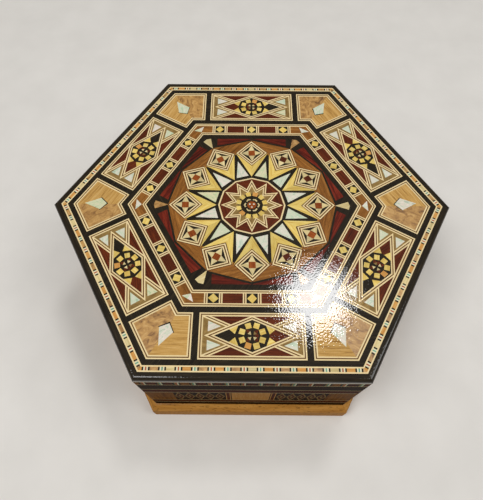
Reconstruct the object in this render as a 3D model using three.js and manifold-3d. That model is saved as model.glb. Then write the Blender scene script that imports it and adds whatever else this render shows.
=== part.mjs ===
// A hexagonal marquetry box with a lift-off lid, standing on a moulded plinth.
// Millimetres, +Z up. The origin is the centre of the underside, and two corners lie on the X axis.
// The box is empty: a floor board and six mitred walls under a hollow lid.
import * as THREE from "three";
import { mergeVertices } from "three/addons/utils/BufferGeometryUtils.js";
import Module from "manifold-3d";

const wasm = await Module();
wasm.setup();

// Driving dimensions
const sides = 6;
const boxRadius = 125; // centre to corner of the walls and the lid
const plinthRadius = 130.5;
const plinthHeight = 18;
const plinthDepth = 20; // how far a plinth strip reaches inwards
const plinthRounding = 4.5;
const wallHeight = 57;
const wallThickness = 9;
const floorThickness = 6;
const lidHeight = 20;
const lidBoardThickness = 6.8;
const veneerThickness = 1.2;
const edgingWidth = 4.4;
const edgingHeight = 4;
const edgingRounding = 2.2;
const mitreGap = 0.3; // saw-cut clearance between neighbouring pieces
const arcSteps = 6;

// The lid's pattern, as distances from the centre to a side of each hexagon
const borderInner = 100.4;
const panelOuter = 97.2;
const panelInner = 71.2;
const bandOuter = 67.7;
const bandInner = 57.7;
const rosetteHalfLength = 29.1;
const dividerWidth = 3.6;

// Values worked out from them
const halfTurn = Math.PI / sides;
const boxApothem = boxRadius * Math.cos(halfTurn);
const plinthApothem = plinthRadius * Math.cos(halfTurn);
const wallInner = boxApothem - wallThickness;
const fieldApothem = boxApothem - edgingWidth;
const wallTop = plinthHeight + wallHeight;
const lidTop = wallTop + lidHeight;
const veneerBase = lidTop - veneerThickness;
const lidBoardBase = veneerBase - lidBoardThickness;
const edgingBase = lidTop - edgingHeight;

const ebony = { color: 0x24201c, roughness: 0.3 };
const walnut = { color: 0x6b4226, roughness: 0.4 };
const honeyWood = { color: 0xc08038, roughness: 0.35 };
const paleBurl = { color: 0xc79a5e, roughness: 0.35 };
const lemonwood = { color: 0xdcb858, roughness: 0.35 };
const redWood = { color: 0x6a2018, roughness: 0.35 };
const plainWood = { color: 0x9a7448, roughness: 0.6 };

const box = new THREE.Group();

function addPiece(name, geometry, finish, turn = 0) {
  const mesh = new THREE.Mesh(
    geometry,
    new THREE.MeshStandardMaterial({ ...finish, metalness: 0 }),
  );
  mesh.name = name;
  mesh.rotation.z = turn;
  box.add(mesh);
}

// Six copies of a piece, one on each side of the hexagon, numbered from the front, turning left to right.
function addAround(name, geometry, finish) {
  for (let side = 0; side < sides; side++) {
    addPiece(`${name}_${side + 1}`, geometry, finish, side * 2 * halfTurn);
  }
}

// A strip along the front side (-Y) with mitred ends. Its profile lists [distance from the centre, height].
function mitredStrip(profile) {
  const shape = new THREE.Shape(profile.map(([r, z]) => new THREE.Vector2(r, z)));
  const geometry = new THREE.ExtrudeGeometry(shape, { depth: 1, bevelEnabled: false });
  const points = geometry.attributes.position;
  for (let i = 0; i < points.count; i++) {
    const distance = points.getX(i);
    const halfLength = distance * Math.tan(halfTurn) - mitreGap / 2 / Math.cos(halfTurn);
    points.setXYZ(i, (1 - 2 * points.getZ(i)) * halfLength, -distance, points.getY(i));
  }
  return geometry;
}

function rectangle(inner, outer, bottom, top) {
  return [
    [inner, bottom],
    [outer, bottom],
    [outer, top],
    [inner, top],
  ];
}

// A rectangular profile whose upper outer edge is rounded to a quarter circle.
function roundedRectangle(inner, outer, bottom, top, radius) {
  const corners = [
    [inner, bottom],
    [outer, bottom],
  ];
  for (let step = 0; step <= arcSteps; step++) {
    const angle = (step / arcSteps) * (Math.PI / 2);
    corners.push([
      outer - radius + radius * Math.cos(angle),
      top - radius + radius * Math.sin(angle),
    ]);
  }
  corners.push([inner, top]);
  return corners;
}

// The corners of a regular hexagon, from the distance between its centre and a side.
function hexagon(apothem) {
  const radius = apothem / Math.cos(halfTurn);
  const corners = [];
  for (let corner = 0; corner < sides; corner++) {
    const angle = corner * 2 * halfTurn;
    corners.push(new THREE.Vector2(radius * Math.cos(angle), radius * Math.sin(angle)));
  }
  return corners;
}

function slab(outline, bottom, top) {
  const settings = { depth: top - bottom, bevelEnabled: false };
  return new THREE.ExtrudeGeometry(new THREE.Shape(outline), settings).translate(0, 0, bottom);
}

function solidOf(geometry) {
  geometry.deleteAttribute("normal");
  geometry.deleteAttribute("uv");
  const merged = mergeVertices(geometry);
  const vertProperties = merged.attributes.position.array;
  const triVerts = new Uint32Array(merged.index.array);
  return new wasm.Manifold(new wasm.Mesh({ numProp: 3, vertProperties, triVerts }));
}

// A geometry with openings cut right through it by the given slabs.
function withOpenings(geometry, cutters) {
  const cut = cutters.reduce((solid, cutter) => solid.subtract(solidOf(cutter)), solidOf(geometry));
  const { vertProperties, triVerts } = cut.getMesh();
  const result = new THREE.BufferGeometry();
  result.setAttribute("position", new THREE.BufferAttribute(vertProperties, 3));
  result.setIndex(new THREE.BufferAttribute(triVerts, 1));
  return result;
}

// The rectangular panel on the front side, grown by a margin for the hole that takes it.
function rosetteOutline(margin) {
  const reach = rosetteHalfLength + margin;
  return [
    new THREE.Vector2(-reach, -panelOuter - margin),
    new THREE.Vector2(reach, -panelOuter - margin),
    new THREE.Vector2(reach, -panelInner + margin),
    new THREE.Vector2(-reach, -panelInner + margin),
  ];
}

// The panel at the corner to the right of the front side: it follows both sides and the inner ring.
function cornerOutline(margin) {
  const start = rosetteHalfLength + dividerWidth - margin;
  const outer = panelOuter + margin;
  const inner = panelInner - margin;
  const near = [
    new THREE.Vector2(inner * Math.tan(halfTurn), -inner),
    new THREE.Vector2(start, -inner),
    new THREE.Vector2(start, -outer),
    new THREE.Vector2(outer * Math.tan(halfTurn), -outer),
  ];
  const far = near.slice(1, 3).reverse();
  const mirrored = far.map((point) => {
    const flipped = new THREE.Vector2(-point.x, point.y);
    return flipped.rotateAround(new THREE.Vector2(), 2 * halfTurn);
  });
  return [...near, ...mirrored];
}

// An outline repeated on every side of the hexagon.
function allRound(outline) {
  const centre = new THREE.Vector2();
  return Array.from({ length: sides }, (_, side) =>
    outline.map((point) => point.clone().rotateAround(centre, side * 2 * halfTurn)),
  );
}

function addPlinth() {
  const profile = roundedRectangle(
    plinthApothem - plinthDepth,
    plinthApothem,
    0,
    plinthHeight,
    plinthRounding,
  );
  addAround("plinth_strip", mitredStrip(profile), honeyWood);
}

function addBody() {
  const wall = rectangle(wallInner, boxApothem, plinthHeight, wallTop);
  addAround("wall", mitredStrip(wall), walnut);
  const floorOutline = hexagon(wallInner - mitreGap);
  const floorTop = plinthHeight + floorThickness;
  addPiece("floor_board", slab(floorOutline, plinthHeight, floorTop), plainWood);
}

// The lid's rim is rebated on top: the board lies in the rebate and the edging on the outer step.
function addLid() {
  const rim = [
    [wallInner, wallTop],
    [boxApothem, wallTop],
    [boxApothem, edgingBase],
    [fieldApothem, edgingBase],
    [fieldApothem, lidBoardBase],
    [wallInner, lidBoardBase],
  ];
  addAround("lid_rim", mitredStrip(rim), walnut);
  const edging = roundedRectangle(fieldApothem, boxApothem, edgingBase, lidTop, edgingRounding);
  addAround("lid_edging", mitredStrip(edging), ebony);
  const boardOutline = hexagon(fieldApothem - mitreGap);
  addPiece("lid_board", slab(boardOutline, lidBoardBase, veneerBase), plainWood);
}

function addLidVeneer() {
  const border = rectangle(borderInner + mitreGap, fieldApothem - mitreGap, veneerBase, lidTop);
  addAround("border_band", mitredStrip(border), lemonwood);
  const outlines = [
    hexagon(bandOuter + mitreGap),
    ...allRound(rosetteOutline(mitreGap)),
    ...allRound(cornerOutline(mitreGap)),
  ];
  const cutters = outlines.map((outline) => slab(outline, veneerBase - 1, lidTop + 1));
  const ground = slab(hexagon(borderInner), veneerBase, lidTop);
  addPiece("ebony_ground", withOpenings(ground, cutters), ebony);
  addAround("rosette_panel", slab(rosetteOutline(0), veneerBase, lidTop), redWood);
  addAround("corner_panel", slab(cornerOutline(0), veneerBase, lidTop), paleBurl);
  const band = rectangle(bandInner + mitreGap, bandOuter, veneerBase, lidTop);
  addAround("inner_band", mitredStrip(band), redWood);
  addPiece("star_field", slab(hexagon(bandInner), veneerBase, lidTop), lemonwood);
}

addPlinth();
addBody();
addLid();
addLidVeneer();

export default box;
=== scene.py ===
import math
import random

import bmesh
import bpy
from mathutils import Euler, Matrix, Vector


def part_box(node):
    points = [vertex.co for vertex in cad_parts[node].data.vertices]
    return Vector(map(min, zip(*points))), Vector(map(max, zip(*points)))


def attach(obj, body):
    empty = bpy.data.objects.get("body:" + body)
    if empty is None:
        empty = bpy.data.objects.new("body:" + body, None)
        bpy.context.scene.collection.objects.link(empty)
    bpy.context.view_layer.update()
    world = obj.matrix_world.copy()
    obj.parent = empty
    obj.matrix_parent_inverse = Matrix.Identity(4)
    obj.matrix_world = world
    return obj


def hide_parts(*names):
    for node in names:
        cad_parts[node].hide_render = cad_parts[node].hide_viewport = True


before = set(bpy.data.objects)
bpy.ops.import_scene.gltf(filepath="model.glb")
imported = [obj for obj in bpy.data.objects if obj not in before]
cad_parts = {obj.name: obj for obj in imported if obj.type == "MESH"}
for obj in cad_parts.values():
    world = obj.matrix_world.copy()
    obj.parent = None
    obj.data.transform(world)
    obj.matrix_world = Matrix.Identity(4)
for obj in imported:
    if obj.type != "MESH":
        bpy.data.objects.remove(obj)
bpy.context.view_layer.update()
random.seed(12)

sides = 6
turnStep = 360 / sides
toMetres = 0.001  # everything below is drawn in millimetres
slope = math.tan(math.radians(turnStep / 2))  # half a side's length for each mm from the centre
toCorner = 1 / math.cos(math.radians(turnStep / 2))  # centre to corner, for each mm to a side


def reachOf(node):
    # how far a piece on the front side lies from the centre of the box: nearest, farthest
    low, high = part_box(node)
    return -high.y / toMetres, -low.y / toMetres


def levelsOf(node):
    low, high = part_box(node)
    return low.z / toMetres, high.z / toMetres


fieldOuter, lidOuter = reachOf("lid_edging_1")
groundOuter = reachOf("ebony_ground")[1]
panelInner, panelOuter = reachOf("rosette_panel_1")
bandOuter = reachOf("inner_band_1")[1]
starOuter = reachOf("star_field")[1]
wallInner = reachOf("wall_1")[0]
plinthInner, plinthOuter = reachOf("plinth_strip_1")
veneerBase, lidTop = levelsOf("star_field")
edgingBase = levelsOf("lid_edging_1")[0]
lidBoardBase = levelsOf("lid_board")[0]
plinthTop = levelsOf("plinth_strip_1")[1]
wallTop = levelsOf("wall_1")[1]
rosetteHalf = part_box("rosette_panel_1")[1].x / toMetres
dividerWidth = 3.6  # ebony between a rosette panel and its neighbours
wallHalf = lidOuter * slope
print("stage: frame read")


# Finishes

def linearColour(hexCode):
    values = [int(hexCode[i:i + 2], 16) / 255 for i in (0, 2, 4)]
    linear = [v / 12.92 if v <= 0.04045 else ((v + 0.055) / 1.055) ** 2.4 for v in values]
    return (*linear, 1)


def addNode(material, kind, settings=None, inputs=None):
    # one node, with its settings and what goes into it: a value, or another node's output
    node = material.node_tree.nodes.new("ShaderNode" + kind)
    for name, value in (settings or {}).items():
        if name == "stops":
            elements = node.color_ramp.elements
            while len(elements) < len(value):
                elements.new(0.5)
            for element, (place, colour) in zip(elements, value):
                element.position = place
                element.color = linearColour(colour)
        else:
            setattr(node, name, value)
    for name, value in (inputs or {}).items():
        if isinstance(value, bpy.types.NodeSocket):
            material.node_tree.links.new(value, node.inputs[name])
        else:
            node.inputs[name].default_value = value
    return node


def newMaterial(name):
    material = bpy.data.materials.new(name)
    material.use_nodes = True
    return material, material.node_tree.nodes["Principled BSDF"]


woodSettings = {
    # ebony: almost black, close and even, with faint brown streaks
    "ebony": {"stops": [(0.3, "17120c"), (0.55, "261f14"), (0.8, "3a301f")], "grain": (14, 0.9),
              "tone": 0.25, "pores": 0.3, "poreSize": (2.5, 0.12)},
    # maple strings: cream, straight and plain
    "mapleString": {"stops": [(0.25, "d9bd86"), (0.55, "e8d2a0"), (0.8, "f0deb4")], "grain": (12, 0.35),
                    "tone": 0.12, "pores": 0.1, "poreSize": (2, 0.1)},
    # walnut strings: the brown line between two cream ones
    "walnutString": {"stops": [(0.25, "482a10"), (0.55, "68421a"), (0.8, "845e2c")], "grain": (9, 0.3),
                     "tone": 0.2, "pores": 0.3, "poreSize": (1.5, 0.1)},
    # lemonwood: clear yellow with a soft silky grain
    "lemonwood": {"stops": [(0.25, "c49c46"), (0.5, "dcbf66"), (0.75, "ecd88c")], "grain": (10, 1.1),
                  "tone": 0.26, "pores": 0.15, "poreSize": (1.5, 0.12)},
    # boxwood: pale, greenish cream, very even
    "boxwood": {"stops": [(0.25, "b8a26a"), (0.5, "d0bd88"), (0.75, "e2d4a6")], "grain": (9, 0.8),
                "tone": 0.3, "pores": 0.1, "poreSize": (1.5, 0.12)},
    # orange-wood blocks: warm honey to orange
    "orangeWood": {"stops": [(0.2, "b4783a"), (0.5, "cc934c"), (0.8, "dcac68")], "grain": (8, 0.8),
                   "tone": 0.16, "pores": 0.15, "poreSize": (1.5, 0.12)},
    # rosewood: dark red with nearly black streaks and long pores
    "rosewood": {"stops": [(0.25, "341206"), (0.5, "56220b"), (0.8, "743414")], "grain": (11, 0.7),
                 "tone": 0.35, "pores": 0.6, "poreSize": (2.2, 0.14)},
    # padauk: clear red, ribbons of lighter and darker wood
    "padauk": {"stops": [(0.3, "2e0c06"), (0.5, "5e1a0e"), (0.7, "86301c")], "grain": (16, 1.3),
               "tone": 0.4, "pores": 0.5, "poreSize": (2.6, 0.14)},
    # walnut: warm mid brown with darker growth lines
    "walnut": {"stops": [(0.28, "623a14"), (0.5, "8a5824"), (0.72, "a87236")], "grain": (18, 1.4),
               "tone": 0.2, "pores": 0.5, "poreSize": (2.4, 0.16)},
    # dark walnut on the sides: dark brown
    "darkWalnut": {"stops": [(0.2, "1c0e06"), (0.5, "2e1a0a"), (0.8, "422610")], "grain": (22, 1.2),
                   "tone": 0.2, "pores": 0.5, "poreSize": (2.6, 0.16)},
    # olive root: soft olive brown, the ground round the rosettes
    "oliveWood": {"stops": [(0.2, "6c5228"), (0.5, "8c7040"), (0.8, "a88a52")], "grain": (5, 1.6),
                  "tone": 0.14, "pores": 0.2, "poreSize": (1.2, 0.2)},
    # redwood: brownish red hearts of the square tiles
    "redwood": {"stops": [(0.25, "682a0c"), (0.5, "8c4416"), (0.8, "a65c28")], "grain": (6, 0.7),
                "tone": 0.25, "pores": 0.3, "poreSize": (1.5, 0.12)},
    # rippled maple: honey coloured, with fine bars across the grain
    "rippledMaple": {"stops": [(0.28, "8e6430"), (0.48, "bf9450"), (0.75, "d8b272")], "grain": (0.75, 14),
                     "tone": 0.1, "pores": 0.2, "poreSize": (1.2, 0.15)},
    # sticks of the coloured border, dyed green and red or left pale
    "greenStick": {"stops": [(0.2, "4d7f68"), (0.5, "6c9c82"), (0.8, "92b89c")], "grain": (4, 0.6),
                   "tone": 0.4, "pores": 0.1, "poreSize": (1, 0.1)},
    "redStick": {"stops": [(0.2, "8c3a20"), (0.5, "a95032"), (0.8, "c07048")], "grain": (4, 0.6),
                 "tone": 0.4, "pores": 0.1, "poreSize": (1, 0.1)},
    "paleStick": {"stops": [(0.2, "c8c4a0"), (0.5, "dcd6b4"), (0.8, "ece4c8")], "grain": (4, 0.6),
                  "tone": 0.1, "pores": 0.05, "poreSize": (1, 0.1)},
    # varnished beech: the plinth's honey brown, with the short dark flecks of its rays
    "honeyBeech": {"stops": [(0.2, "8a5a26"), (0.5, "b07b38"), (0.8, "cb964e")], "grain": (26, 2.2),
                   "tone": 0.1, "pores": 0.45, "poreSize": (2.3, 0.8), "coat": 0.12,
                   "coatRoughness": 0.16, "specular": 0},
    # planed board, only oiled: the inside of the box
    "plainBoard": {"stops": [(0.2, "86603a"), (0.5, "9c764a"), (0.8, "b18b5c")], "grain": (30, 1.8),
                   "tone": 0, "pores": 0.3, "poreSize": (3, 0.2), "coat": 0.05,
                   "coatRoughness": 0.4, "roughness": 0.6, "fromObject": True},
}
glossFinish = {"brightness": 1, "roughness": 0.4, "specular": 0.05, "coat": 0.8, "coatRoughness": 0.03,
               "fromObject": False}
# the sides' finish: a thin lacquer, and brightness 0.6, which is painted shade that darkens every side wood
shadedSatinFinish = {"brightness": 0.6, "specular": 0, "coat": 0.08, "coatRoughness": 0.16}
lacquerSettings = {"wave": 1, "height": 0.036}  # millimetres
poreShare = 0.64  # noise above this is a pore

# what every tile holds: its place in the wood in millimetres, and one number from 0 to 1 for its tone
grainSource = {"attribute_type": "GEOMETRY", "attribute_name": "grain"}
toneSource = {"attribute_type": "GEOMETRY", "attribute_name": "tone"}


def addLacquer(material, shader, finish):
    # clear lacquer brushed on by hand over open grain: its surface waves by hundredths of a millimetre
    place = addNode(material, "TexCoord").outputs["Object"]
    waves = addNode(material, "TexNoise", inputs={
        "Vector": place, "Scale": 1 / (lacquerSettings["wave"] * toMetres), "Detail": 0.5,
        "Roughness": 0.5})
    bump = addNode(material, "Bump", inputs={
        "Height": waves.outputs["Fac"], "Strength": 1, "Distance": lacquerSettings["height"] * toMetres})
    for name in ("Normal", "Coat Normal"):
        material.node_tree.links.new(bump.outputs["Normal"], shader.inputs[name])
    shader.inputs["Coat Weight"].default_value = finish["coat"]
    shader.inputs["Coat Roughness"].default_value = finish["coatRoughness"]


def buildWood(name, look):
    # wood under lacquer: streaks along the grain, fine pores, and each tile its own tone. Both sizes are
    # a length and a width in millimetres.
    look = {**glossFinish, **look}
    material, shader = newMaterial(name)
    if look["fromObject"]:
        place, unit = addNode(material, "TexCoord").outputs["Object"], toMetres
    else:
        place, unit = addNode(material, "Attribute", grainSource).outputs["Vector"], 1
    long, wide = [size * unit for size in look["grain"]]
    streakPlace = addNode(material, "Mapping", inputs={
        "Vector": place, "Scale": (1 / long, 1 / wide, 1 / wide)})
    streaks = addNode(material, "TexNoise", inputs={
        "Vector": streakPlace.outputs["Vector"], "Scale": 1, "Detail": 4, "Roughness": 0.6,
        "Distortion": 0.3})
    colour = addNode(material, "ValToRGB", {"stops": look["stops"]}, {"Fac": streaks.outputs["Fac"]})
    long, wide = [size * unit for size in look["poreSize"]]
    porePlace = addNode(material, "Mapping", inputs={
        "Vector": place, "Scale": (1 / long, 1 / wide, 1 / wide)})
    pores = addNode(material, "TexNoise", inputs={
        "Vector": porePlace.outputs["Vector"], "Scale": 1, "Detail": 1, "Roughness": 0.5})
    poreHere = addNode(material, "Math", {"operation": "GREATER_THAN"},
                       {0: pores.outputs["Fac"], 1: poreShare})
    poreDepth = addNode(material, "Math", {"operation": "MULTIPLY"},
                        {0: poreHere.outputs[0], 1: look["pores"]})
    shade = addNode(material, "Math", {"operation": "SUBTRACT"},
                    {0: look["brightness"], 1: poreDepth.outputs[0]})
    if not look["fromObject"]:
        tone = addNode(material, "Attribute", toneSource)
        spread = addNode(material, "MapRange", inputs={
            "Value": tone.outputs["Fac"], "To Min": 1 - look["tone"] / 2, "To Max": 1 + look["tone"] / 2})
        shade = addNode(material, "Math", {"operation": "MULTIPLY"},
                        {0: shade.outputs[0], 1: spread.outputs[0]})
    toned = addNode(material, "HueSaturation", inputs={"Color": colour.outputs["Color"],
                                                       "Value": shade.outputs[0]})
    material.node_tree.links.new(toned.outputs["Color"], shader.inputs["Base Color"])
    shader.inputs["Roughness"].default_value = look["roughness"]
    shader.inputs["Specular IOR Level"].default_value = look["specular"]
    addLacquer(material, shader, look)
    return material


def buildPearl():
    # mother-of-pearl: ground flat and polished, milky, with its play of colour painted in as fixed faint
    # green, pink and yellow waves: partly its own colour, partly a painted sheen
    material, shader = newMaterial("motherOfPearl")
    place = addNode(material, "Attribute", grainSource).outputs["Vector"]
    wavePlace = addNode(material, "Mapping", inputs={
        "Vector": place, "Scale": (1 / 4.5, 1 / 1.8, 1 / 1.8)})
    waves = addNode(material, "TexNoise", inputs={
        "Vector": wavePlace.outputs["Vector"], "Scale": 1, "Detail": 4, "Roughness": 0.6,
        "Distortion": 1.4})
    colour = addNode(material, "ValToRGB", {"stops": [
        (0.25, "aeb2a4"), (0.38, "c6d8c6"), (0.48, "e4e4d4"), (0.57, "e9ddd6"), (0.68, "f3f0e6")]},
        {"Fac": waves.outputs["Fac"]})
    tone = addNode(material, "Attribute", toneSource)
    # painted sheen: each tile's hue, yellow, green or pink, fixed in place of the colour that nacre shows
    # as it turns
    paintedSheenHues = addNode(material, "ValToRGB", {"stops": [
        (0, "eae6b4"), (0.25, "dae8d2"), (0.5, "ecebe2"), (0.75, "ece6dc"), (1, "f8f6f0")]},
        {"Fac": tone.outputs["Fac"]})
    mixed = addNode(material, "Mix", {"data_type": "RGBA", "blend_type": "MULTIPLY"},
                    {"Factor": 0.8, 6: colour.outputs["Color"], 7: paintedSheenHues.outputs["Color"]})
    material.node_tree.links.new(mixed.outputs[2], shader.inputs["Base Color"])
    shader.inputs["Roughness"].default_value = 0.3
    shader.inputs["Specular IOR Level"].default_value = 0.3
    addLacquer(material, shader, glossFinish)
    return material


def buildBurl():
    # pale burl: cloudy honey colour with soft swirls, and a close ripple along the grain
    material, shader = newMaterial("paleBurl")
    place = addNode(material, "Attribute", grainSource).outputs["Vector"]
    cloudPlace = addNode(material, "Mapping", inputs={"Vector": place, "Scale": (1 / 7, 1 / 5, 1 / 5)})
    clouds = addNode(material, "TexNoise", inputs={
        "Vector": cloudPlace.outputs["Vector"], "Scale": 1, "Detail": 5, "Roughness": 0.62,
        "Distortion": 1.6})
    colour = addNode(material, "ValToRGB", {"stops": [
        (0.32, "74502a"), (0.44, "a67a42"), (0.57, "c39656"), (0.75, "d9b274")]},
        {"Fac": clouds.outputs["Fac"]})
    ripplePlace = addNode(material, "Mapping", inputs={
        "Vector": place, "Scale": (1 / 14, 1 / 0.55, 1 / 0.55)})
    ripple = addNode(material, "TexNoise", inputs={
        "Vector": ripplePlace.outputs["Vector"], "Scale": 1, "Detail": 2, "Roughness": 0.5})
    rippled = addNode(material, "MapRange", inputs={
        "Value": ripple.outputs["Fac"], "To Min": 0.82, "To Max": 1.12})
    tone = addNode(material, "Attribute", toneSource)
    spread = addNode(material, "MapRange", inputs={
        "Value": tone.outputs["Fac"], "To Min": 0.84, "To Max": 1.04})
    shade = addNode(material, "Math", {"operation": "MULTIPLY"},
                    {0: rippled.outputs[0], 1: spread.outputs[0]})
    toned = addNode(material, "HueSaturation", inputs={"Color": colour.outputs["Color"],
                                                       "Value": shade.outputs[0]})
    material.node_tree.links.new(toned.outputs["Color"], shader.inputs["Base Color"])
    shader.inputs["Roughness"].default_value = 0.36
    addLacquer(material, shader, glossFinish)
    return material


woods = {name: buildWood(name, look) for name, look in woodSettings.items()}
for name in ("mapleString", "walnutString", "ebony", "rosewood", "walnut", "darkWalnut", "orangeWood",
             "oliveWood", "paleStick", "greenStick", "redStick"):
    # the sides, under a thin lacquer rubbed to a soft shine, with their colours darkened to six tenths as
    # painted shade, as if they stood in shade
    shadedSatinName = "shadedSatin" + name[0].upper() + name[1:]
    woods["side " + name] = buildWood(shadedSatinName, {**woodSettings[name], **shadedSatinFinish})
woods["pearl"] = buildPearl()
woods["paleBurl"] = buildBurl()
print("stage: finishes made")


# Cutting veneer

sawSlack = 0.004  # millimetres that a corner may lie off a line and still count as on it
mergeDistance = 0.001
flatAngle = 0.01  # radians, below which two edges or faces run straight on
plankSize = 900  # tiles come from anywhere in a block of wood this long, wide and deep
quarters = [(x, y) for x in (1, -1) for y in (1, -1)]


def turned(outline, degrees):
    turn = Matrix.Rotation(math.radians(degrees), 2)
    return [turn @ Vector(corner) for corner in outline]


def mirrored(outline):
    return [Vector((-corner[0], corner[1])) for corner in reversed(outline)]


def polar(radius, degrees):
    angle = math.radians(degrees)
    return Vector((radius * math.cos(angle), radius * math.sin(angle)))


def regular(corners, radius, start=0):
    return [polar(radius, start + 360 * i / corners) for i in range(corners)]


def wobbled(outline, amount):
    # hand-cut: every corner a little off
    return [Vector(c) + Vector((random.uniform(-amount, amount), random.uniform(-amount, amount)))
            for c in outline]


def strip(left, right, bottom, top):
    return [(left, bottom), (right, bottom), (right, top), (left, top)]


def sideStrip(inner, outer):
    # the outline of a mitred strip along the front side, between two distances from the centre
    return [(-inner * slope, -inner), (-outer * slope, -outer), (outer * slope, -outer),
            (inner * slope, -inner)]


def depthInside(start, end, point):
    # how far a point lies inside the line from start to end, which runs anticlockwise round a tile
    along = (end - start).normalized()
    return along.x * (point.y - start.y) - along.y * (point.x - start.x)


def edgesOf(outline):
    corners = [Vector(corner) for corner in outline]
    area = sum(a.x * b.y - b.x * a.y for a, b in zip(corners, corners[1:] + corners[:1]))
    if area < 0:
        corners.reverse()
    return list(zip(corners, corners[1:] + corners[:1]))


def slotFor(sheet, wood):
    names = [material.name for material in sheet.data.materials]
    if woods[wood].name not in names:
        sheet.data.materials.append(woods[wood])
        return len(names)
    return names.index(woods[wood].name)


def selectOnly(piece):
    bpy.ops.object.select_all(action="DESELECT")
    piece.select_set(True)
    bpy.context.view_layer.objects.active = piece


def applyPlace(piece):
    selectOnly(piece)
    bpy.ops.object.transform_apply(location=True, rotation=True, scale=True)


def startSheet(name, outline, wood):
    # a flat sheet of one veneer, open in edit mode
    bpy.ops.object.select_all(action="DESELECT")
    bpy.ops.mesh.primitive_circle_add(vertices=len(outline), radius=1, fill_type="NGON")
    sheet = bpy.context.object
    sheet.name = name
    for vertex, (start, end) in zip(sheet.data.vertices, edgesOf(outline)):
        vertex.co = (start.x, start.y, 0)
    slotFor(sheet, wood)
    bpy.ops.object.mode_set(mode="EDIT")
    bpy.ops.mesh.select_mode(type="FACE")
    bpy.ops.mesh.select_all(action="SELECT")
    if any(face.normal.z < 0 for face in bmesh.from_edit_mesh(sheet.data).faces):
        bpy.ops.mesh.flip_normals()
    return sheet


def selectFaces(sheet, test):
    bpy.ops.mesh.select_all(action="DESELECT")
    mesh = bmesh.from_edit_mesh(sheet.data)
    chosen = [face for face in mesh.faces if not face.hide and test(face)]
    for face in chosen:
        face.select_set(True)
    return chosen


def within(edges):
    return lambda face: all(depthInside(*edge, face.calc_center_median()) > 0 for edge in edges)


def carve(sheet, outline, wood):
    # saws a convex outline out of what is left of the sheet and lays another wood in it
    edges = edgesOf(outline)
    for number, (start, end) in enumerate(edges):
        done = within(edges[:number])

        def crossed(face):
            corners = [vertex.co for vertex in face.verts]
            if not done(face) or any(max(depthInside(*edge, corner) for corner in corners) < sawSlack
                                     for edge in edges):
                return False
            depths = [depthInside(start, end, corner) for corner in corners]
            return min(depths) < -sawSlack and max(depths) > sawSlack

        if selectFaces(sheet, crossed):
            along = (end - start).normalized()
            bpy.ops.mesh.bisect(plane_co=(start.x, start.y, 0), plane_no=(along.y, -along.x, 0),
                                threshold=mergeDistance)
    if len(selectFaces(sheet, within(edges))) > 1:
        bpy.ops.mesh.dissolve_faces()
    mesh = bmesh.from_edit_mesh(sheet.data)
    slot = slotFor(sheet, wood)
    for face in mesh.faces:
        if face.select and not face.hide:
            face.material_index = slot
            for edge in face.edges:
                edge.seam = True


def setAside():
    # finished tiles are hidden, so that later cuts leave them alone
    bpy.ops.mesh.hide(unselected=False)


def inlay(sheet, outline, wood):
    carve(sheet, outline, wood)
    setAside()


def cutOpening(sheet, outline):
    carve(sheet, outline, "ebony")
    bpy.ops.mesh.delete(type="FACE")


def layStrings(sheet, strings, wood):
    # strings round the selected tile, each inside the last, mitred at the corners
    for stringWood, width in strings:
        mesh = bmesh.from_edit_mesh(sheet.data)
        for face in [f for f in mesh.faces if f.select]:
            face.material_index = slotFor(sheet, stringWood)
        bpy.ops.mesh.inset(thickness=width, use_even_offset=True, use_boundary=True)
        mesh = bmesh.from_edit_mesh(sheet.data)
        inner = [f for f in mesh.faces if f.select]
        ring = {f for face in inner for edge in face.edges for f in edge.link_faces} - set(inner)
        for face in inner:
            for edge in face.edges:
                edge.seam = True
            for loop in face.loops:
                if abs(loop.calc_angle() - math.pi) > 3 * flatAngle:
                    for edge in loop.vert.link_edges:
                        edge.seam = True
        for face in ring:
            face.hide_set(True)
        for face in inner:
            face.select_set(True)
            face.material_index = slotFor(sheet, wood)


def insetOutline(outline, distance):
    edges = edgesOf(outline)
    corners = []
    for (before, here), (start, after) in zip(edges[-1:] + edges[:-1], edges):
        first, second = (here - before).normalized(), (after - here).normalized()
        inward = Vector((-first.y - second.y, first.x + second.x))
        corners.append(here + inward * (distance / (1 + first.dot(second))))
    return corners


def inlayStrings(sheet, outline, strings):
    # the same strings laid side by side into an outline cut by hand. Gives the outline left inside.
    for wood, width in strings:
        inner = insetOutline(outline, width)
        outline = [edge[0] for edge in edgesOf(outline)]
        for start, end, endInner, startInner in zip(outline, outline[1:] + outline[:1],
                                                    inner[1:] + inner[:1], inner):
            inlay(sheet, [start, end, endInner, startInner], wood)
        outline = inner
    return outline


def finishSheet(sheet, thickness, taper=1.0, backWood=None):
    # joins the offcuts of the ground, then gives the sheet its thickness, downwards
    bpy.ops.mesh.reveal(select=False)
    bpy.ops.mesh.select_all(action="SELECT")
    bpy.ops.mesh.dissolve_limited(angle_limit=flatAngle, delimit={"MATERIAL", "SEAM"})
    bpy.ops.mesh.select_all(action="SELECT")
    bpy.ops.mesh.extrude_region_move(TRANSFORM_OT_translate={"value": (0, 0, -thickness)})
    bpy.ops.mesh.dissolve_limited(angle_limit=flatAngle, delimit=set())
    bpy.ops.transform.resize(value=(taper, 1, 1), center_override=(0, 0, 0))
    if backWood:
        slot = slotFor(sheet, backWood)
        for face in bmesh.from_edit_mesh(sheet.data).faces:
            if face.select:
                face.material_index = slot
    bpy.ops.mesh.select_all(action="SELECT")
    bpy.ops.mesh.normals_make_consistent(inside=False)
    bpy.ops.mesh.select_all(action="DESELECT")
    bpy.ops.object.mode_set(mode="OBJECT")


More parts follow.
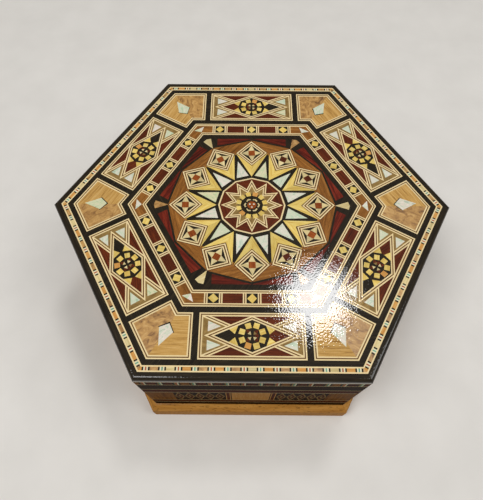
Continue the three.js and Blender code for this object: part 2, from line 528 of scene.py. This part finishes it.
def layExportMap(sheet, backShare=0.05):
    # a UV map named OFBake to bake the finish through: most of it for the shown face, a share for the back,
    # and a narrow row for the edges that look each way
    mesh = sheet.data
    layer = mesh.uv_layers.new(name="OFBake")
    low, high = [Vector([choose(vertex.co[axis] for vertex in mesh.vertices) for axis in range(3)])
                 for choose in (min, max)]
    edgeRow, gap, margin = 0.012, 0.005, 0.01
    backStart = margin + 4 * (edgeRow + gap)
    faceStart = backStart + backShare + margin
    for face in mesh.polygons:
        normal = face.normal
        facesY = abs(normal.y) > abs(normal.x)
        row = (0 if normal.y < 0 else 1) if facesY else (2 if normal.x < 0 else 3)
        for loop in face.loop_indices:
            point = mesh.vertices[mesh.loops[loop].vertex_index].co - low
            x, y, z = [point[axis] / (high - low)[axis] for axis in range(3)]
            if normal.z > 0.5:
                place = (x, faceStart + (1 - margin - faceStart) * y)
            elif normal.z < -0.5:
                place = (x, backStart + backShare * y)
            else:
                place = (x if facesY else y, margin + row * (edgeRow + gap) + edgeRow * z)
            layer.data[loop].uv = (margin + (1 - 2 * margin) * place[0], place[1])


def placeSheet(sheet):
    # gives a lid's sheet its thickness and its level, and takes it from millimetres to metres
    finishSheet(sheet, lidTop - veneerBase)
    layExportMap(sheet)
    sheet.location.z = lidTop * toMetres
    sheet.scale = (toMetres,) * 3
    applyPlace(sheet)


def anyWood():
    # where a tile is sawn from its block of wood, and its tone
    return Vector([random.uniform(0, plankSize) for axis in range(3)]), random.random()


def layGrain(piece, direction=None):
    # gives every tile its own stretch of wood. A solid piece has one, along the given direction.
    mesh = piece.data
    grain = mesh.attributes.get("grain") or mesh.attributes.new("grain", "FLOAT_VECTOR", "CORNER")
    tone = mesh.attributes.get("tone") or mesh.attributes.new("tone", "FLOAT", "FACE")
    shift, pieceTone = anyWood()
    for face in mesh.polygons:
        if direction is None:
            corners = [mesh.vertices[i].co for i in face.vertices]
            tileSides = [b - a for a, b in zip(corners, corners[1:] + corners[:1])]
            along = max(tileSides, key=lambda side: side.length).normalized()
            across = face.normal.cross(along)
            shift, pieceTone = anyWood()
        else:
            along = direction
            across = Vector((0, 0, 1)).cross(along)
        deep = along.cross(across)
        tone.data[face.index].value = pieceTone
        for loop in face.loop_indices:
            place = mesh.vertices[mesh.loops[loop].vertex_index].co / toMetres
            grain.data[loop].vector = shift + Vector((place.dot(along), place.dot(across), place.dot(deep)))


def register(piece, node):
    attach(piece, "root")
    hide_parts(node)


def copyAround(master, name, node, solid=False):
    # one on each side of the hexagon, every copy with its own mesh and its own grain
    pieces = []
    for side in range(sides):
        piece = master
        if side:
            selectOnly(master)
            bpy.ops.object.duplicate(linked=False)
            piece = bpy.context.object
            piece.rotation_euler.z = math.radians(side * turnStep)
            applyPlace(piece)
        piece.name = f"{name}{side + 1}"
        direction = Matrix.Rotation(math.radians(side * turnStep), 3, "Z") @ Vector((1, 0, 0))
        layGrain(piece, direction if solid else None)
        pieces.append(piece)
    for number, piece in enumerate(pieces, 1):
        register(piece, f"{node}_{number}")


doubleString = [("mapleString", 0.76), ("walnutString", 0.63), ("mapleString", 0.76)]
stringWidth = sum(width for wood, width in doubleString)


# Lid: the coloured border of small sticks

borderSettings = {
    "line": 0.75,  # cream line along each edge
    "blockStep": 8.5,  # from block to block, before they are fitted to the side
    "blocks": ["orangeWood", "paleBurl", "boxwood", "orangeWood", "paleBurl"],
    "sticks": [("ebony", 0.9), ("paleStick", 0.8), ("redStick", 0.8), ("paleStick", 0.8), ("ebony", 0.9)],
}


def layBlocks(sheet, half, bottom, top, settings):
    # long blocks with small sticks between them, from end to end. Every second red stick is green.
    sticks = settings["sticks"]
    repeats = round(2 * half / settings["blockStep"])
    blockLength = 2 * half / repeats - sum(width for wood, width in sticks)
    place = -half - blockLength / 2
    for number in range(repeats + 1):
        blockWood = settings["blocks"][number % len(settings["blocks"])]
        for wood, width in [(blockWood, blockLength)] + sticks:
            if number % 2:
                wood = wood.replace("redStick", "greenStick")
            inlay(sheet, strip(place, place + width, bottom, top), wood)
            place += width


def buildBorder():
    sheet = startSheet("borderBand", sideStrip(groundOuter, fieldOuter), "mapleString")
    inner = groundOuter + borderSettings["line"]
    outer = fieldOuter - borderSettings["line"]
    inlay(sheet, sideStrip(groundOuter, inner), "mapleString")
    inlay(sheet, sideStrip(outer, fieldOuter), "mapleString")
    layBlocks(sheet, fieldOuter * slope, -outer, -inner, borderSettings)
    placeSheet(sheet)
    copyAround(sheet, "borderBand", "border_band")


# Lid: rectangular panels with a rosette in a lozenge

panelSettings = {
    "lozengeLength": 26.1,  # half its length, over the strings
    "lozengeSlope": 23.4,  # degrees
    "triangleBase": (7.6, 12.6),  # where a yellow triangle starts and ends along the lozenge's side
    "triangleTip": (9.4, 0.9),
    "square": 3.15,
    "squareCentre": 5.95,
    "lean": 6,  # degrees, the squares towards the nearest axis of the panel
    "slip": [(0.8, 0), (2.5, -1.1), (2.5, 1.1)],  # corners, from the rosette's centre
    "wedge": [(2.6, -1.3), (4.9, 0), (2.6, 1.3)],
    "kite": [(0.9, 0), (2.9, -1.15), (3.9, 0), (2.9, 1.15)],
    "redTip": (12, 5.9),
    "redInset": 2,
    "pearlInset": 2.7,  # from the frame
    "pearlRise": 5.2,
    "pearlHalf": 2.9,
    "pearlTip": 16.9,
}


def buildRosettePanel():
    halfHeight = (panelOuter - panelInner) / 2
    outline = [(rosetteHalf, halfHeight), (-rosetteHalf, halfHeight),
               (-rosetteHalf, -halfHeight), (rosetteHalf, -halfHeight)]
    sheet = startSheet("rosettePanel", outline, "oliveWood")
    layStrings(sheet, doubleString, "oliveWood")
    length = panelSettings["lozengeLength"]
    tilt = math.tan(math.radians(panelSettings["lozengeSlope"]))
    fieldHigh = halfHeight - stringWidth
    fieldLong = rosetteHalf - stringWidth
    # the lozenge's tips above and below are cut off by the frame
    nib = length - fieldHigh / tilt
    lozenge = [(length, 0), (nib, fieldHigh), (-nib, fieldHigh), (-length, 0), (-nib, -fieldHigh),
               (nib, -fieldHigh)]
    layLozenge(sheet, lozenge, length, tilt)
    layPanelCorners(sheet, fieldLong, fieldHigh, tilt)
    sheet.location.y = -(panelInner + panelOuter) / 2 * toMetres
    placeSheet(sheet)
    copyAround(sheet, "rosettePanel", "rosette_panel")


def layLozenge(sheet, lozenge, length, tilt):
    carve(sheet, lozenge, "ebony")
    outer = length
    for wood, width in doubleString:
        # four strings, from tip to tip
        inner = outer - width / math.cos(math.atan(tilt)) / tilt
        for flipX, flipY in quarters:
            string = [(outer * flipX, 0), (0, outer * tilt * flipY), (0, inner * tilt * flipY),
                      (inner * flipX, 0)]
            inlay(sheet, string, wood)
        outer = inner
    layRosette(sheet, inner, tilt)
    # the ebony left between the tiles
    selectFaces(sheet, within(edgesOf(lozenge)))
    setAside()


def layRosette(sheet, inner, tilt):
    # yellow triangles in the corners between the lozenge and the rosette, dark kites at its ends
    settings = panelSettings
    near, far = [(x, (inner - x) * tilt) for x in settings["triangleBase"]]
    tip = settings["triangleTip"]
    for flipX in (1, -1):
        for flipY in (1, -1):
            outline = [(x * flipX, y * flipY) for x, y in (near, far, tip)]
            inlay(sheet, wobbled(outline, 0.08), "lemonwood")
        kite = [(inner, 0), far, tip, (tip[0], -tip[1]), (far[0], -far[1])]
        inlay(sheet, [(x * flipX, y) for x, y in kite], "rosewood" if flipX > 0 else "ebony")
    half = settings["square"] / 2
    for number in range(8):
        angle = 22.5 + 45 * number
        lean = angle + settings["lean"] * (1 if number % 2 else -1)
        square = turned(strip(-half, half, -half, half), lean)
        outline = [polar(settings["squareCentre"], angle) + corner for corner in square]
        inlay(sheet, wobbled(outline, 0.15), "orangeWood" if number == 5 else "lemonwood")
    # a cross of the ebony ground, with pale slips and red wedges between its arms
    for number in range(4):
        angle = 45 + 90 * number
        inlay(sheet, wobbled(turned(settings["slip"], angle), 0.1), "boxwood" if number else "oliveWood")
        inlay(sheet, wobbled(turned(settings["wedge"], angle), 0.1), "rosewood")
    inlay(sheet, settings["kite"], "rosewood")


def layPanelCorners(sheet, long, high, tilt):
    # from each corner of the frame a double string runs to the middle of the lozenge's side
    settings = panelSettings
    fall = math.cos(math.atan(tilt))
    base, rise, half = (settings[key] for key in ("pearlInset", "pearlRise", "pearlHalf"))
    for flipX, flipY in quarters:
        def flipped(outline):
            return [(x * flipX, y * flipY) for x, y in outline]

        lower = -doubleString[0][1] / 2  # the first line runs into the corner by its middle
        for wood, width in doubleString:
            upper = lower + width
            # it starts a millimetre past the corner
            string = [(long + 1, high + tilt + lower / fall), (long + 1, high + tilt + upper / fall),
                      (0, high - long * tilt + upper / fall), (0, high - long * tilt + lower / fall)]
            inlay(sheet, flipped(string), wood)
            lower = upper
        # rosewood above it, against the frame's long side
        red = [(long - settings["redInset"], high), (0, high), settings["redTip"]]
        inlay(sheet, flipped(red), "rosewood")
        # pearl below it, in the olive root
        pearl = [(long - base, rise - half), (long - base, rise + half), (settings["pearlTip"], rise)]
        inlay(sheet, flipped(wobbled(pearl, 0.2)), "pearl")


buildBorder()
buildRosettePanel()
print("stage: border and rosette panels laid")


# Lid: corner panels, pale wood with a pearl kite on the corner's line

cornerSettings = {
    "head": 89.2,  # distances of the kite's head, widest place and tip from the centre of the lid
    "shoulder": 93.4,
    "tip": 103,
    "halfWidth": 4.3,
    "headLine": 0.55,  # ebony line along the head
    # how each kite lies: millimetres outwards and sideways, and degrees, from the front right corner on
    "lie": [(0, 0, -10), (0.8, 1.6, 3), (0.3, -0.9, -2), (0.8, 1.4, 5), (2, -0.4, 0), (0.4, 0, 9)],
}


def buildCornerPanel(number):
    half = math.radians(turnStep / 2)
    start = rosetteHalf + dividerWidth

    def onSide(along, distance):
        # a point near the corner on the X axis, from its place along the side before it
        return Vector((distance * math.cos(half) + along * math.sin(half),
                       along * math.cos(half) - distance * math.sin(half)))

    lower = [onSide(panelInner * slope, panelInner), onSide(start, panelInner),
             onSide(start, panelOuter), onSide(panelOuter * slope, panelOuter)]
    upper = [Vector((point.x, -point.y)) for point in reversed(lower[1:3])]
    sheet = startSheet(f"cornerPanel{number + 1}", lower + upper, "paleBurl")
    layStrings(sheet, doubleString, "paleBurl")
    outwards, sideways, turn = cornerSettings["lie"][number]
    head, shoulder, tip, wide = (cornerSettings[key] for key in ("head", "shoulder", "tip", "halfWidth"))
    centre = Vector((shoulder + outwards, sideways))

    def lie(outline):
        return [centre + corner for corner in turned([(x - shoulder, y) for x, y in outline], turn)]

    inlay(sheet, wobbled(lie([(head, 0), (shoulder, -wide), (tip, 0), (shoulder, wide)]), 0.3), "pearl")
    # an ebony triangle under its head, of which the line still shows
    line = cornerSettings["headLine"]
    back = [(head - line * 1.4, 0), (shoulder, -wide - line * 1.3), (shoulder, wide + line * 1.3)]
    inlay(sheet, lie(back), "ebony")
    # one wood each side of the corner's line. The cuts start and end well past the panel.
    near, far, aside = panelInner - 11, panelOuter * 1.3, 40
    first, second = ("paleBurl", "rippledMaple") if number % 2 else ("rippledMaple", "paleBurl")
    inlay(sheet, [(near, 0), (near, -aside), (far, -aside), (far, 0)], first)
    inlay(sheet, [(near, 0), (far, 0), (far, aside), (near, aside)], second)
    sheet.rotation_euler.z = math.radians(turnStep * (number - 1))
    placeSheet(sheet)
    layGrain(sheet)
    register(sheet, f"corner_panel_{number + 1}")


# Lid: the band round the star, black squares and red bars between strings

bandSettings = {
    "string": [("mapleString", 0.7), ("walnutString", 0.6), ("mapleString", 0.7)],
    "square": 6.4,
    "diamond": 2.85,  # half its diagonal
    "squareStep": 21.9,
    "pearlTip": 69.3,  # distances from the centre, along the mitre
    "pearlBase": 72.9,
    "pearlHalf": 3.8,
}


def layUpright(sheet, place, direction, bottom, top, strings):
    # strings across a band, one after another. Gives where the last one ends.
    for wood, width in strings:
        inlay(sheet, strip(place, place + direction * width, bottom, top), wood)
        place += direction * width
    return place


def buildInnerBand():
    sheet = startSheet("innerBand", sideStrip(starOuter, bandOuter), "walnut")
    inner, outer = starOuter, bandOuter
    for wood, width in bandSettings["string"]:
        inlay(sheet, sideStrip(inner, inner + width), wood)
        inlay(sheet, sideStrip(outer - width, outer), wood)
        inner += width
        outer -= width
    half = bandSettings["square"] / 2
    middle = (inner + outer) / 2
    reach = bandSettings["diamond"]
    step = bandSettings["squareStep"]
    for centre in (-step, 0, step):
        diamond = [(centre + x, y - middle) for x, y in ((reach, 0), (0, reach), (-reach, 0), (0, -reach))]
        inlay(sheet, wobbled(diamond, 0.2), "lemonwood")
        inlay(sheet, strip(centre - half, centre + half, -outer, -inner), "ebony")
        for direction in (-1, 1):
            layUpright(sheet, centre + direction * half, direction, -outer, -inner, bandSettings["string"])
    for centre in (-step / 2, step / 2):
        inlay(sheet, strip(centre - step / 2, centre + step / 2, -outer, -inner), "rosewood")
    mitre = turnStep / 2 - 90
    tip, base = [polar(bandSettings[key], mitre) for key in ("pearlTip", "pearlBase")]
    pearl = [tip, base, base - polar(bandSettings["pearlHalf"], mitre + 90)]
    inlay(sheet, pearl, "pearl")
    inlay(sheet, mirrored(pearl), "pearl")
    placeSheet(sheet)
    copyAround(sheet, "innerBand", "inner_band")


# Lid: ebony ground that holds the panels

def buildGround():
    sheet = startSheet("ebonyGround", regular(sides, groundOuter * toCorner), "ebony")
    cutOpening(sheet, regular(sides, bandOuter * toCorner))
    panel = [(rosetteHalf, -panelInner), (-rosetteHalf, -panelInner), (-rosetteHalf, -panelOuter),
             (rosetteHalf, -panelOuter)]
    start = rosetteHalf + dividerWidth
    wing = [(panelInner * slope, -panelInner), (start, -panelInner), (start, -panelOuter),
            (panelOuter * slope, -panelOuter)]
    for side in range(sides):
        for outline in (panel, wing, mirrored(wing)):
            cutOpening(sheet, turned(outline, side * turnStep))
    placeSheet(sheet)
    layGrain(sheet)
    register(sheet, "ebony_ground")


# Lid: the twelve-pointed star

starSettings = {
    "points": 12,
    "ring": 3.5,  # ebony between it and the band
    "radius": 52.7,  # outer corners of the square tiles
    "tileCentre": 41.9,
    "tileHalf": 10.8,  # half a square tile's diagonal
    "tileString": [("rosewood", 0.42), ("mapleString", 0.77), ("walnutString", 0.74),
                   ("mapleString", 0.77)],
    "darkHearts": (1, 2, 10),  # tiles with a rosewood heart, the others have redwood
    "petalFoot": 2.15,
    "petalTip": 6.8,
    "arrowTip": 22.3,
    "pearlFoot": 22.8,
    "pearlTip": 36,
    "pearlHalf": 3.95,
    "walnutFoot": 41.5,
    "redStart": 0.4,  # where a red triangle starts and stops, from the middle of the side
    "redEnd": 23.3,
    "redLine": 1.3,
    "wedgeFoot": 52.4,
    "wedgeHalf": 2.9,
    "wedgeNib": 0.9,
    "wedgeGap": 0.9,  # ebony between a wedge and the corner
}

medallionSettings = {
    "radius": 21.2,
    "rim": 0.95,
    "starTip": 19.5,
    "starNook": 12.6,
    "strings": [("mapleString", 0.72), ("walnutString", 0.55), ("mapleString", 0.72)],
    "squareCentre": 8.4,
    "square": 2.95,
    "flare": 1.05,  # each square is this much wider at its outer side
    "slip": [(5.1, 0), (4.3, 1.6), (3.5, 1.4), (4.1, 0)],  # corners, from the centre
    "point": [(5.925, -1.2), (9.275, 0), (5.925, 1.2)],
    "eye": 2.9,
    "dot": 0.6,
    "dotCentre": 1.5,
}


def inlayRound(sheet, outline, wood, count, start=0, wobble=0):
    # the same tile all the way round
    for number in range(count):
        inlay(sheet, wobbled(turned(outline, start + 360 / count * number), wobble), wood)


def laySquareTile(sheet, number):
    settings = starSettings
    angle = 360 / settings["points"] * number
    middle = wobbled([polar(settings["tileCentre"], angle)], 0.2)[0]
    reach = settings["tileHalf"]
    angle += random.uniform(-2.5, 2.5)

    def tile(outline):
        return [middle + corner for corner in turned(outline, angle)]

    outline = wobbled(tile([(reach, 0), (0, reach), (-reach, 0), (0, -reach)]), 0.1)
    field = inlayStrings(sheet, outline, settings["tileString"])
    foot, tip = settings["petalFoot"], settings["petalTip"]
    for turn in range(0, 360, 90):
        petal = turned([(foot, -foot), (tip, 0), (foot, foot)], turn)
        inlay(sheet, wobbled(tile(petal), 0.2), "boxwood")
    heart = [(foot, foot), (-foot, foot), (-foot, -foot), (foot, -foot)]
    heartWood = "rosewood" if number in settings["darkHearts"] else "redwood"
    inlay(sheet, wobbled(tile(heart), 0.15), heartWood)
    inlay(sheet, field, "ebony")


def buildStar():
    settings = starSettings
    count = settings["points"]
    step = 360 / count
    sheet = startSheet("starField", regular(sides, starOuter * toCorner), "ebony")
    layMedallion(sheet)
    for number in range(count):
        laySquareTile(sheet, number)
    foot = settings["pearlFoot"]
    pearl = [(foot, -settings["pearlHalf"]), (settings["pearlTip"], 0), (foot, settings["pearlHalf"])]
    inlayRound(sheet, pearl, "pearl", count, step / 2, 0.25)
    # yellow arrows from the pearl to the squares, each of two tiles
    middle, reach = settings["tileCentre"], settings["tileHalf"]
    arrow = [(settings["arrowTip"], 0), (middle, -reach), (middle - reach, 0)]
    inlayRound(sheet, arrow, "lemonwood", count, 0, 0.08)
    inlayRound(sheet, [(x, -y) for x, y in arrow], "lemonwood", count, 0, 0.08)
    # walnut between the squares, out to the twelve-sided line
    outer = settings["radius"]
    field = [polar(outer, -step / 2), polar(outer, step / 2), (settings["walnutFoot"], 0)]
    inlayRound(sheet, field, "walnut", count, step / 2)
    layStarCorners(sheet, outer, step)
    placeSheet(sheet)
    layGrain(sheet)
    register(sheet, "star_field")


def layStarCorners(sheet, outer, step):
    # pale wedges run out to the corners of the hexagon, red triangles fill its sides
    settings = starSettings
    edge = starOuter - settings["ring"]
    wide = settings["wedgeHalf"]
    end = edge * toCorner - settings["wedgeGap"]
    back = end - settings["wedgeNib"]
    wedge = [(settings["wedgeFoot"], 0), (back, -wide), (end, 0), (back, wide)]
    for number in range(sides):
        inlay(sheet, turned(wedge, number * turnStep), "paleBurl" if number % 2 else "boxwood")
    tilt = math.tan(math.radians(step / 2))
    near = outer + settings["redLine"] / math.cos(math.radians(step / 2))
    start, reach = settings["redStart"], settings["redEnd"]
    red = [(start, -edge), (reach, -edge), (reach, -near + reach * tilt), (start, -near + start * tilt)]
    inlayRound(sheet, red, "padauk", sides)
    inlayRound(sheet, mirrored(red), "padauk", sides)


def zigzagPoint(offset, atTip):
    # tips and nooks of the medallion's star, moved in from its outline by the given distance
    settings = medallionSettings
    half = math.radians(180 / starSettings["points"])
    tip = Vector((settings["starTip"], 0))
    nook = settings["starNook"] * Vector((math.cos(half), math.sin(half)))
    along = (nook - tip).normalized()
    inward = Vector((-along.y, along.x))
    start = tip + inward * offset
    # the mitre runs from the centre through the tip or the nook, and this is square to it
    across = Vector((0, 1)) if atTip else Vector((-math.sin(half), math.cos(half)))
    return start - along * (start.dot(across) / along.dot(across))


def layMedallion(sheet):
    settings = medallionSettings
    count = starSettings["points"]
    step = 360 / count
    laySmallRosette(sheet)
    offset = 0
    for wood, width in settings["strings"]:
        outline = [zigzagPoint(offset, True), zigzagPoint(offset, False),
                   zigzagPoint(offset + width, False), zigzagPoint(offset + width, True)]
        inlayRound(sheet, outline, wood, count)
        inlayRound(sheet, [(x, -y) for x, y in outline], wood, count)
        offset += width
    nook, tip = zigzagPoint(offset, False), zigzagPoint(offset, True)
    inlayRound(sheet, [(0, 0), (nook.x, -nook.y), tip, nook], "oliveWood", count)
    inner = settings["radius"] - settings["rim"]
    gap = [zigzagPoint(0, False), zigzagPoint(0, True), polar(inner, 0), polar(inner, step),
           polar(settings["starTip"], step)]
    inlayRound(sheet, gap, "rosewood", count)
    rim = [polar(inner, 0), polar(settings["radius"], 0), polar(settings["radius"], step),
           polar(inner, step)]
    inlayRound(sheet, rim, "mapleString", count)


def laySmallRosette(sheet):
    settings = medallionSettings
    count = starSettings["points"]
    half = settings["square"] / 2
    near, far = settings["squareCentre"] - half, settings["squareCentre"] + half
    flared = half * settings["flare"]
    square = [(near, -half), (far, -flared), (far, flared), (near, half)]
    for number in range(count):
        wood = "orangeWood" if number in (2, 7) else "lemonwood"
        inlay(sheet, wobbled(turned(square, 360 / count * (number + 0.5)), 0.1), wood)
    # pale slips round the eye, each bent to a shallow point, and black points between the squares
    for number in range(sides):
        for direction in (-1, 1):
            slip = [(x, y * direction) for x, y in settings["slip"]]
            inlay(sheet, wobbled(turned(slip, turnStep * number), 0.08), "boxwood")
    inlayRound(sheet, settings["point"], "ebony", count)
    # the eye, with three pearl dots
    for number in range(3):
        dot = [polar(settings["dotCentre"], 30 + 120 * number) + corner
               for corner in regular(6, settings["dot"])]
        inlay(sheet, dot, "pearl")
    inlay(sheet, regular(12, settings["eye"]), "redwood")
    inlay(sheet, regular(24, near), "ebony")


for number in range(sides):
    buildCornerPanel(number)
buildInnerBand()
buildGround()
buildStar()
print("stage: corner panels, band, ground and star laid")


# Sides of the box and of the lid

sideSettings = {
    "footBand": 27,  # heights where one band of veneer meets the next
    "panelFoot": 35,
    "panelHead": 61,
    "neckHead": 70,
    "lidBand": 83,
    "paleLine": 0.7,
    "centreHalf": 11.5,  # half the length of the plain field in the middle
    "upright": [("side ebony", 0.6), ("side orangeWood", 0.5), ("side rosewood", 1.9),
                ("side orangeWood", 0.5), ("side ebony", 0.6)],
    "mosaicEnd": 46,
    "lozenges": 5,  # in each mosaic field
    "heart": 0.3,  # sizes of a lozenge's heart and of the dark wood round it, as shares of the whole
    "core": 0.72,
    "blockStep": 9,
    "blocks": ["side walnut", "side rosewood", "side rosewood"],
    "sticks": [("side ebony", 0.9), ("side oliveWood", 0.8), ("side redStick", 0.8),
               ("side paleStick", 0.8), ("side ebony", 0.9)],
}


def startSide(name, bottom, top):
    return startSheet(name, strip(-wallHalf, wallHalf, bottom, top), "side darkWalnut")


def layLines(sheet, heights):
    # pale lines from end to end
    for height in heights:
        line = strip(-wallHalf, wallHalf, height, height + sideSettings["paleLine"])
        inlay(sheet, line, "side mapleString")


def standSheet(sheet):
    # from lying flat to standing on the front side
    layExportMap(sheet, backShare=0.3)
    sheet.rotation_euler.x = math.radians(90)
    sheet.location.y = -lidOuter * toMetres
    sheet.scale = (toMetres,) * 3
    applyPlace(sheet)


def buildWalls():
    settings = sideSettings
    line = settings["paleLine"]
    sheet = startSide("wall", plinthTop, wallTop)
    foot, head = settings["panelFoot"], settings["panelHead"]
    layLines(sheet, (settings["footBand"], foot, head, settings["neckHead"]))
    for bottom, top in ((settings["footBand"], foot), (head, settings["neckHead"])):
        inlay(sheet, strip(-wallHalf, wallHalf, bottom + line, top), "side rosewood")
    bottom, top = foot + line, head
    inlay(sheet, strip(-settings["centreHalf"], settings["centreHalf"], bottom, top), "side orangeWood")
    for direction in (-1, 1):
        place = layUpright(sheet, direction * settings["centreHalf"], direction, bottom, top,
                           settings["upright"])
        end = direction * settings["mosaicEnd"]
        layMosaic(sheet, place, end, bottom, top)
        inlay(sheet, strip(end, direction * wallHalf, bottom, top), "side walnut")
    finishSheet(sheet, lidOuter - wallInner, wallInner / lidOuter, "plainBoard")
    standSheet(sheet)
    copyAround(sheet, "wall", "wall")


def layMosaic(sheet, start, end, bottom, top):
    # a chain of lozenges, each a golden line round dark wood with a golden heart
    settings = sideSettings
    step = (end - start) / settings["lozenges"]
    middle, half = (bottom + top) / 2, (top - bottom) / 2
    for number in range(settings["lozenges"]):
        centre = start + step * (number + 0.5)
        for size, wood in ((settings["heart"], "side oliveWood"), (settings["core"], "side rosewood"),
                           (1, "side oliveWood")):
            lozenge = [(centre + step * size / 2, middle), (centre, middle + half * size),
                       (centre - step * size / 2, middle), (centre, middle - half * size)]
            inlay(sheet, wobbled(lozenge, 0.1) if size < 1 else lozenge, wood)
    inlay(sheet, strip(start, end, bottom, top), "side darkWalnut")


def buildRims():
    line = sideSettings["paleLine"]
    sheet = startSide("lidRim", wallTop, edgingBase)
    bottom, top = sideSettings["lidBand"], edgingBase - line
    layLines(sheet, (bottom, top))
    layBlocks(sheet, wallHalf, bottom + line, top, sideSettings)
    finishSheet(sheet, lidOuter - fieldOuter, fieldOuter / lidOuter, "plainBoard")
    # below the rebate for the board, the rim is as thick as the wall
    bpy.ops.object.mode_set(mode="EDIT")
    back = fieldOuter - lidOuter + 0.1  # only the back lies below this
    selectFaces(sheet, lambda face: face.calc_center_median().z < back)
    bpy.ops.mesh.bisect(plane_co=(0, lidBoardBase, 0), plane_no=(0, 1, 0), threshold=mergeDistance)
    selectFaces(sheet, lambda face: face.calc_center_median().z < back
                and face.calc_center_median().y < lidBoardBase)
    bpy.ops.mesh.extrude_region_move(TRANSFORM_OT_translate={"value": (0, 0, wallInner - fieldOuter)})
    bpy.ops.transform.resize(value=(wallInner / fieldOuter, 1, 1), center_override=(0, 0, 0))
    bpy.ops.mesh.select_all(action="SELECT")
    bpy.ops.mesh.normals_make_consistent(inside=False)
    bpy.ops.object.mode_set(mode="OBJECT")
    standSheet(sheet)
    copyAround(sheet, "lidRim", "lid_rim")


# Solid strips: the black edging of the lid and the plinth

def buildStrip(name, inner, outer, bottom, top, rounding, wood):
    # a bar with mitred ends and its upper outer edge rounded
    margin = 0.1  # the edge's corners are looked for this far round it
    bpy.ops.object.select_all(action="DESELECT")
    bpy.ops.mesh.primitive_cube_add(size=1, location=(0, -(inner + outer) / 2, (bottom + top) / 2))
    bar = bpy.context.object
    bar.name = name
    bar.scale = (2 * inner * slope, outer - inner, top - bottom)
    applyPlace(bar)
    bar.data.materials.append(woods[wood])
    bpy.ops.object.mode_set(mode="EDIT")
    bpy.ops.mesh.select_mode(type="FACE")
    selectFaces(bar, lambda face: face.normal.y < -0.9)
    bpy.ops.transform.resize(value=(outer / inner, 1, 1), center_override=(0, 0, 0))
    bpy.ops.mesh.select_mode(type="EDGE")
    bpy.ops.mesh.select_all(action="DESELECT")
    for edge in bmesh.from_edit_mesh(bar.data).edges:
        if all(vertex.co.z > top - margin and vertex.co.y < margin - outer for vertex in edge.verts):
            edge.select_set(True)
    bpy.ops.mesh.bevel(offset=rounding, segments=8, affect="EDGES")
    bpy.ops.object.mode_set(mode="OBJECT")
    bar.scale = (toMetres,) * 3
    applyPlace(bar)
    bpy.ops.object.shade_smooth_by_angle(angle=math.radians(30))
    return bar


edgingSettings = {"rounding": 2.2}
plinthSettings = {"rounding": 5}


def buildEdging():
    bar = buildStrip("edging", fieldOuter, lidOuter, edgingBase, lidTop, edgingSettings["rounding"],
                     "ebony")
    copyAround(bar, "edging", "lid_edging", True)


def buildPlinth():
    bar = buildStrip("plinthStrip", plinthInner, plinthOuter, 0, plinthTop,
                     plinthSettings["rounding"], "honeyBeech")
    copyAround(bar, "plinthStrip", "plinth_strip", True)


buildWalls()
buildRims()
buildEdging()
buildPlinth()
for node in ("floor_board", "lid_board"):
    board = bpy.data.objects[node]
    board.data.materials.clear()
    board.data.materials.append(woods["plainBoard"])
print("stage: sides, edging and plinth made")


# Floor, light and camera

stageSettings = {
    "floorHalf": 3,
    "lamp": {"place": (0.283, 0.477, 1.473), "size": 0.26, "power": 4.2},  # gives the glare on the lid
    "keyBox": {"place": (-0.7, -0.4, 1.7), "size": 0.9, "power": 17.5},
    "fillBox": {"place": (1.0, -0.2, 1.6), "size": 1.0, "power": 10},
    "worldStrength": 0.18,
    "cameraPlace": (-5.83, -152.42, 324.95),
    "cameraTurn": (27.645, -0.134, 0.452),
    "lens": 31.39,
}


def addSoftbox(name, settings):
    light = bpy.data.lights.new(name, "AREA")
    light.shape = "DISK"
    light.size = settings["size"]
    light.energy = settings["power"]
    lamp = bpy.data.objects.new(name, light)
    lamp.location = settings["place"]
    aim = Vector((0, 0, lidTop * toMetres)) - lamp.location
    lamp.rotation_euler = aim.to_track_quat("-Z", "Y").to_euler()
    bpy.context.collection.objects.link(lamp)


def buildStage():
    bpy.ops.object.select_all(action="DESELECT")
    bpy.ops.mesh.primitive_plane_add(size=2 * stageSettings["floorHalf"], location=(0, 0, 0))
    floor = bpy.context.object
    floor.name = "studioFloor"
    # matt paper, very faintly mottled
    material, shader = newMaterial("paleBackdrop")
    place = addNode(material, "TexCoord").outputs["Object"]
    mottle = addNode(material, "TexNoise", inputs={"Vector": place, "Scale": 30, "Detail": 4})
    colour = addNode(material, "ValToRGB", {"stops": [(0.3, "dad7d2"), (0.7, "e0ddd8")]},
                     {"Fac": mottle.outputs["Fac"]})
    material.node_tree.links.new(colour.outputs["Color"], shader.inputs["Base Color"])
    shader.inputs["Roughness"].default_value = 0.8
    floor.data.materials.append(material)
    for name in ("lamp", "keyBox", "fillBox"):
        addSoftbox(name, stageSettings[name])
    world = bpy.data.worlds.new("studio")
    world.use_nodes = True
    background = world.node_tree.nodes["Background"]
    background.inputs["Color"].default_value = linearColour("f2ece2")
    background.inputs["Strength"].default_value = stageSettings["worldStrength"]
    bpy.context.scene.world = world
    bpy.context.scene.view_settings.view_transform = "Standard"


def buildCamera():
    camera = bpy.data.objects.new("camera", bpy.data.cameras.new("camera"))
    camera.location = Vector(stageSettings["cameraPlace"]) * toMetres
    camera.rotation_euler = Euler([math.radians(angle) for angle in stageSettings["cameraTurn"]])
    camera.data.lens = stageSettings["lens"]
    camera.data.clip_start = 0.01
    bpy.context.collection.objects.link(camera)
    bpy.context.scene.camera = camera


buildStage()
buildCamera()
print("stage: floor, light and camera placed")
